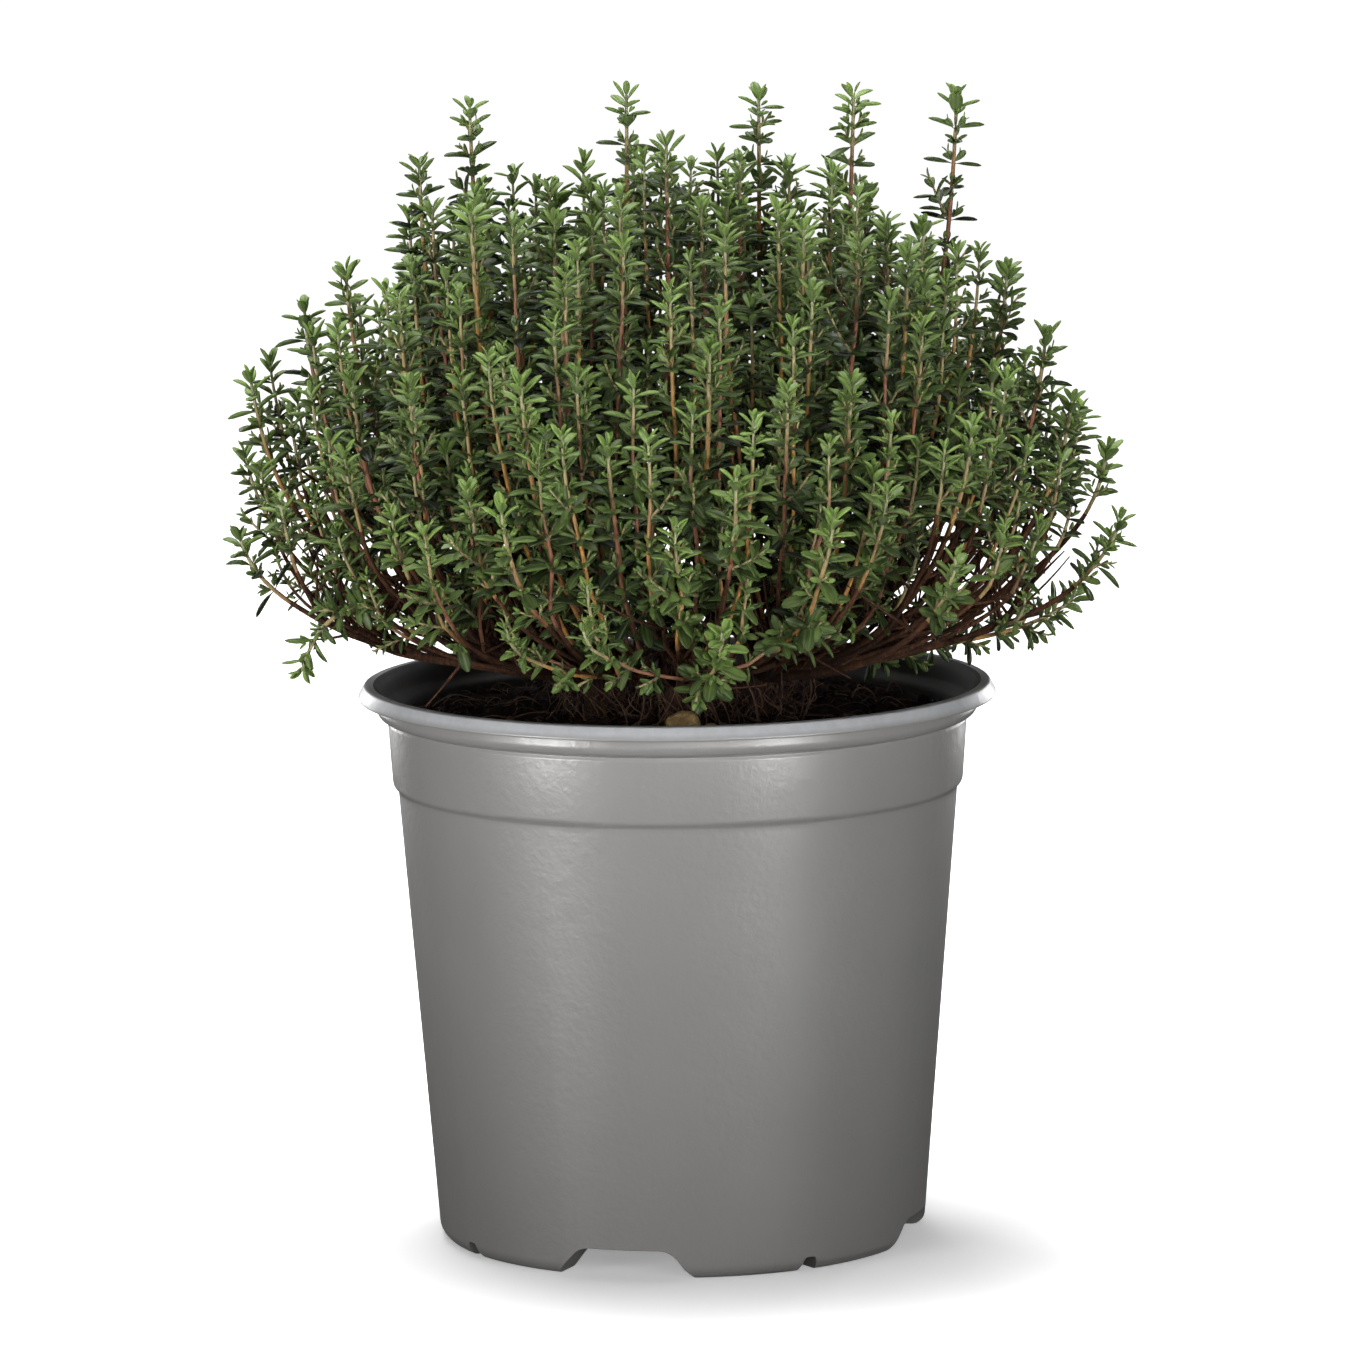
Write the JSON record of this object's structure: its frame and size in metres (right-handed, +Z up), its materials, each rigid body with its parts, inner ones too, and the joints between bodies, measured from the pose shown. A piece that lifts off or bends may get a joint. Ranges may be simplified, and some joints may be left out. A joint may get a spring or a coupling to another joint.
{
  "type": "potted thyme",
  "caption": "Bushy garden thyme with woody low branches and upright leafy sprigs, growing in peat in a round grey nursery pot with a rolled lip and a notched foot.",
  "frame": {"origin": "middle of the pot's foot, in the plane that it stands on", "axes": "+Z up along the pot's axis, -Y towards the side seen in the picture, +X to the right of that view"},
  "size_m": [0.1829, 0.1503, 0.2334],
  "materials": {
    "pot_plastic": "satin",
    "peat": "matte",
    "stone": "matte",
    "bark": "matte",
    "foliage": "matte"
  },
  "bodies": {
    "root": {"pot": "pot_plastic", "soil": "peat", "sprig_01": "foliage", "sprig_02": "foliage", "sprig_03": "foliage", "sprig_04": "foliage", "sprig_05": "foliage", "sprig_06": "foliage", "sprig_07": "foliage", "sprig_08": "foliage", "sprig_09": "foliage", "sprig_10": "foliage", "sprig_11": "foliage", "sprig_12": "foliage", "sprig_13": "foliage", "sprig_14": "foliage", "sprig_15": "foliage", "sprig_16": "foliage", "sprig_17": "foliage", "sprig_18": "foliage", "sprig_19": "foliage", "sprig_20": "foliage", "sprig_21": "foliage", "sprig_22": "foliage", "sprig_23": "foliage", "sprig_24": "foliage", "sprig_25": "foliage", "sprig_26": "foliage", "sprig_27": "foliage", "sprig_28": "foliage", "sprig_29": "foliage", "sprig_30": "foliage", "sprig_31": "foliage", "sprig_32": "foliage", "sprig_33": "foliage", "sprig_34": "foliage", "sprig_35": "foliage", "sprig_36": "foliage", "sprig_37": "foliage", "sprig_38": "foliage", "sprig_39": "foliage", "sprig_40": "foliage", "sprig_41": "foliage", "sprig_42": "foliage", "sprig_43": "foliage", "sprig_44": "foliage", "sprig_45": "foliage", "sprig_46": "foliage", "sprig_47": "foliage", "sprig_48": "foliage", "sprig_49": "foliage", "sprig_50": "foliage", "stone_large": "stone", "stone_small": "stone", "wood_1": "bark", "wood_2": "bark", "wood_3": "bark", "wood_4": "bark", "wood_5": "bark", "wood_6": "bark"}
  },
  "joints": []
}
